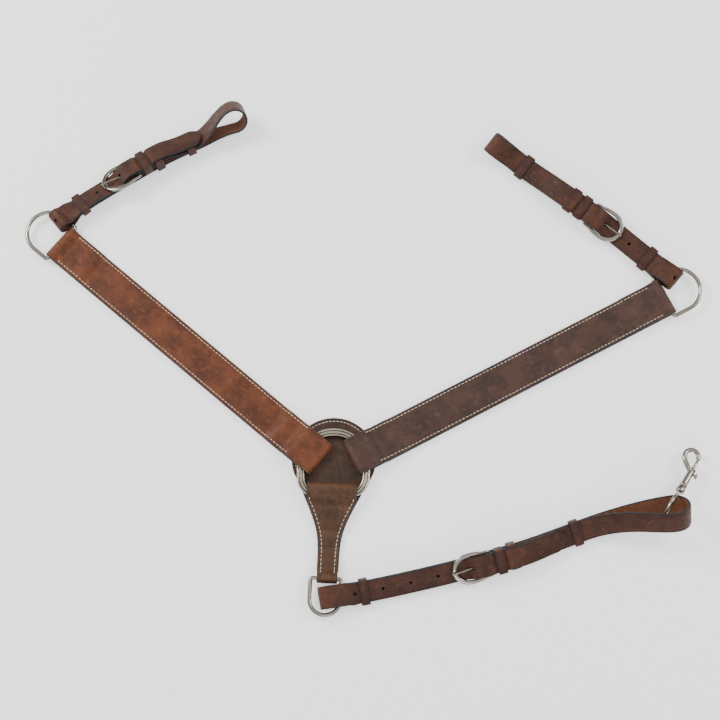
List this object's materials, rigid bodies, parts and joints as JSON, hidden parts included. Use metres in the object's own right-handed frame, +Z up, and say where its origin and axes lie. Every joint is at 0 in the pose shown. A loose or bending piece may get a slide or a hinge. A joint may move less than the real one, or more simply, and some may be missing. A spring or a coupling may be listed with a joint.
{
  "type": "horse breastplate",
  "caption": "Western leather breastplate: stitched shoulder straps on a flat centre ring, buckled tugs on dees, and a drop with a buckled girth strap and swivel snap.",
  "frame": {"origin": "middle of the centre ring's arc, on the underside of the backing", "axes": "+X to the right, seen from above with the shoulder straps pointing away; +Y away, between the shoulder straps; +Z up off the surface it lies on"},
  "size_m": [0.936, 0.7196, 0.063],
  "materials": {
    "backing_leather": "dark oiled bridle leather, flesh side down",
    "drop_leather": "oiled dark brown bridle leather",
    "keeper_leather": "oiled brown leather",
    "left_shoulder_leather": "oiled reddish brown leather",
    "lining_leather": "dark flesh side",
    "nickel_plate": "bright nickel plate, lightly worn",
    "right_shoulder_leather": "oiled dark brown leather",
    "ring_nickel": "satin nickel, warm",
    "tug_leather": "oiled mid brown bridle leather"
  },
  "bodies": {
    "collar": {"center_backing": "backing_leather", "drop_front": "drop_leather"},
    "ring": {"center_ring": "ring_nickel"},
    "left_shoulder": {"left_shoulder_outer": "left_shoulder_leather", "left_shoulder_lining": "lining_leather"},
    "left_dee": {"left_dee": "nickel_plate"},
    "right_shoulder": {"right_shoulder_outer": "right_shoulder_leather", "right_shoulder_lining": "lining_leather"},
    "right_dee": {"right_dee": "nickel_plate"},
    "drop_dee": {"drop_dee": "nickel_plate"},
    "left_tug": {"left_tug": "tug_leather", "left_keeper_b": "keeper_leather", "left_keeper_b2": "keeper_leather"},
    "left_buckle": {"left_buckle_frame": "nickel_plate"},
    "left_tongue": {"left_buckle_tongue": "nickel_plate"},
    "left_keeper_a": {"left_keeper_a": "keeper_leather"},
    "left_keeper_c": {"left_keeper_c": "keeper_leather"},
    "right_tug": {"right_tug": "tug_leather", "right_keeper_b": "keeper_leather", "right_keeper_b2": "keeper_leather"},
    "right_buckle": {"right_buckle_frame": "nickel_plate"},
    "right_tongue": {"right_buckle_tongue": "nickel_plate"},
    "right_keeper_a": {"right_keeper_a": "keeper_leather"},
    "right_keeper_c": {"right_keeper_c": "keeper_leather"},
    "girth_strap": {"girth_strap": "tug_leather", "girth_keeper_b": "keeper_leather", "girth_keeper_b2": "keeper_leather"},
    "girth_buckle": {"girth_buckle_frame": "nickel_plate"},
    "girth_tongue": {"girth_buckle_tongue": "nickel_plate"},
    "girth_keeper_a": {"girth_keeper_a": "keeper_leather"},
    "girth_keeper_c": {"girth_keeper_c": "keeper_leather"},
    "snap_eye": {"snap_eye": "nickel_plate"},
    "snap": {"snap_body": "nickel_plate"},
    "snap_bolt": {"snap_bolt": "nickel_plate"}
  },
  "joints": [
    {"name": "ring_tilt", "type": "hinge", "parent": "collar", "child": "ring", "pos_m": [0, -0.041, 0.01035], "axis": [1, 0, 0], "range_deg": [0, 6]},
    {"name": "left_shoulder_swing", "type": "hinge", "parent": "ring", "child": "left_shoulder", "pos_m": [0, 0, 0.01035], "axis": [0, 0, 1], "range_deg": [-3, 2]},
    {"name": "left_dee_flip", "type": "hinge", "parent": "left_shoulder", "child": "left_dee", "pos_m": [-0.3774, 0.31088, 0.0101], "axis": [0.6468, 0.7627, 0], "range_deg": [0, 8]},
    {"name": "right_shoulder_swing", "type": "hinge", "parent": "ring", "child": "right_shoulder", "pos_m": [0, 0, 0.01035], "axis": [0, 0, 1], "range_deg": [-1.5, 1.5]},
    {"name": "right_dee_flip", "type": "hinge", "parent": "right_shoulder", "child": "right_dee", "pos_m": [0.45301, 0.23321, 0.0101], "axis": [0.4648, -0.8854, 0], "range_deg": [0, 8]},
    {"name": "drop_dee_flip", "type": "hinge", "parent": "collar", "child": "drop_dee", "pos_m": [-0.00809, -0.15429, 0.0101], "axis": [-0.9986, 0.0523, 0], "range_deg": [0, 8]},
    {"name": "left_tug_swing", "type": "hinge", "parent": "left_dee", "child": "left_tug", "pos_m": [-0.39596, 0.3261, 0.0101], "axis": [0, 0, 1], "range_deg": [0, 100]},
    {"name": "left_buckle_tilt", "type": "hinge", "parent": "left_tug", "child": "left_buckle", "pos_m": [-0.27713, 0.4183, 0.01776], "axis": [-0.4796, 0.7775, -0.4067], "range_deg": [0, 1.5]},
    {"name": "left_tongue_lift", "type": "hinge", "parent": "left_buckle", "child": "left_tongue", "pos_m": [-0.27713, 0.4183, 0.01776], "axis": [-0.4796, 0.7775, -0.4067], "range_deg": [0, 2.5]},
    {"name": "left_keeper_a_slide", "type": "slide", "parent": "left_tug", "child": "left_keeper_a", "axis": [0.8035, 0.5953, 0], "range_m": [0, 0.008]},
    {"name": "left_keeper_c_slide", "type": "slide", "parent": "left_tug", "child": "left_keeper_c", "axis": [0.9034, 0.4288, 0], "range_m": [-0.003, 0.003]},
    {"name": "right_tug_swing", "type": "hinge", "parent": "right_dee", "child": "right_tug", "pos_m": [0.47445, 0.24401, 0.0101], "axis": [0, 0, 1], "range_deg": [-100, 0]},
    {"name": "right_buckle_tilt", "type": "hinge", "parent": "right_tug", "child": "right_buckle", "pos_m": [0.35599, 0.3524, 0.01623], "axis": [-0.5992, -0.7516, -0.2756], "range_deg": [0, 1.5]},
    {"name": "right_tongue_lift", "type": "hinge", "parent": "right_buckle", "child": "right_tongue", "pos_m": [0.35599, 0.3524, 0.01623], "axis": [-0.5992, -0.7516, -0.2756], "range_deg": [0, 2.5]},
    {"name": "right_keeper_a_slide", "type": "slide", "parent": "right_tug", "child": "right_keeper_a", "axis": [-0.7588, 0.6513, 0], "range_m": [0, 0.008]},
    {"name": "right_keeper_c_slide", "type": "slide", "parent": "right_tug", "child": "right_keeper_c", "axis": [-0.7832, 0.6218, 0], "range_m": [-0.003, 0.003]},
    {"name": "girth_swing", "type": "hinge", "parent": "drop_dee", "child": "girth_strap", "pos_m": [-0.01085, -0.18218, 0.0101], "axis": [0, 0, 1], "range_deg": [-95, 0]},
    {"name": "girth_buckle_tilt", "type": "hinge", "parent": "girth_strap", "child": "girth_buckle", "pos_m": [0.20854, -0.13466, 0.0181], "axis": [-0.2469, 0.8642, 0.4384], "range_deg": [0, 1.5]},
    {"name": "girth_tongue_lift", "type": "hinge", "parent": "girth_buckle", "child": "girth_tongue", "pos_m": [0.20854, -0.13466, 0.0181], "axis": [-0.2469, 0.8642, 0.4384], "range_deg": [0, 2.5]},
    {"name": "girth_keeper_a_slide", "type": "slide", "parent": "girth_strap", "child": "girth_keeper_a", "axis": [0.9834, 0.1816, 0], "range_m": [0, 0.008]},
    {"name": "girth_keeper_c_slide", "type": "slide", "parent": "girth_strap", "child": "girth_keeper_c", "axis": [0.9382, 0.346, 0], "range_m": [-0.003, 0.003]},
    {"name": "snap_eye_slip", "type": "hinge", "parent": "girth_strap", "child": "snap_eye", "pos_m": [0.45173, -0.07132, 0.0364], "axis": [-0.1125, 0.7105, 0.6947], "range_deg": [-8, 8]},
    {"name": "snap_swivel", "type": "hinge", "parent": "snap_eye", "child": "snap", "pos_m": [0.44901, -0.0605, 0.0249], "axis": [0.5299, 0.8319, -0.165], "continuous": true},
    {"name": "snap_bolt_slide", "type": "slide", "parent": "snap", "child": "snap_bolt", "axis": [-0.5299, -0.8319, 0.165], "range_m": [0, 0.006], "stiffness_N_per_m": 150, "springref_m": -0.004}
  ]
}
